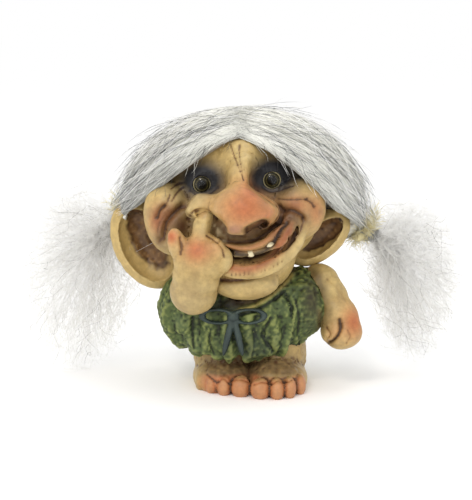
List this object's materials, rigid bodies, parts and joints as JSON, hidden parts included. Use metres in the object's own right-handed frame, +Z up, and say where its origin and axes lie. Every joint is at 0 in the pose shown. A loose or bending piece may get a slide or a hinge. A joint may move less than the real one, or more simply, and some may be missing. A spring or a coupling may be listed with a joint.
{
  "type": "norwegian troll figure",
  "caption": "Small folk troll figurine with a large nose, cupped ears, bare feet, a leafy dress with a bow, glass eyes, and parted wool hair tied into pigtails that swing at the ties.",
  "frame": {"origin": "on the floor under the flat soles, midway between the feet", "axes": "+Z up, the figure faces -Y, and its left hand is on +X"},
  "size_m": [0.1313, 0.0638, 0.0788],
  "materials": {
    "painted_casting_skin": "hand-painted matt, brown wash in the folds, peach blush",
    "painted_casting_moss": "hand-painted matt moss green, dry-brushed yellow-green",
    "painted_casting_blue": "hand-painted matt dark blue-grey",
    "wood": "plain turned dowel",
    "ivory_casting": "satin ivory paint",
    "iris_enamel": "dark olive iris with a black pupil and a thin gold ring",
    "eye_glass": "clear polished dome",
    "sheepskin_backing": "thin pale hide",
    "grey_wool": "long silver-grey wool",
    "cream_yarn": "soft cream yarn",
    "white_wool": "frizzy off-white wool"
  },
  "bodies": {
    "figure": {"legs": "painted_casting_skin", "head": "painted_casting_skin", "right_ear": "painted_casting_skin", "left_ear": "painted_casting_skin", "right_arm": "painted_casting_skin", "left_arm": "painted_casting_skin", "dress": "painted_casting_moss", "bow": "painted_casting_blue", "neck_dowel": "wood", "right_tooth": "ivory_casting", "left_tooth": "ivory_casting", "right_iris": "iris_enamel", "left_iris": "iris_enamel", "right_eye_glass": "eye_glass", "left_eye_glass": "eye_glass", "scalp_skin": "sheepskin_backing", "right_hair": "grey_wool", "left_hair": "grey_wool", "right_hair_tie": "cream_yarn", "left_hair_tie": "cream_yarn"},
    "right_pigtail": {"right_pigtail": "white_wool"},
    "left_pigtail": {"left_pigtail": "white_wool"}
  },
  "joints": [
    {"name": "right_pigtail_swing", "type": "hinge", "parent": "figure", "child": "right_pigtail", "pos_m": [-0.0388, 0.014, 0.0446], "axis": [0, 1, 0], "range_deg": [0, 45]},
    {"name": "left_pigtail_swing", "type": "hinge", "parent": "figure", "child": "left_pigtail", "pos_m": [0.036, 0.0105, 0.0414], "axis": [0, -1, 0], "range_deg": [0, 45]}
  ]
}
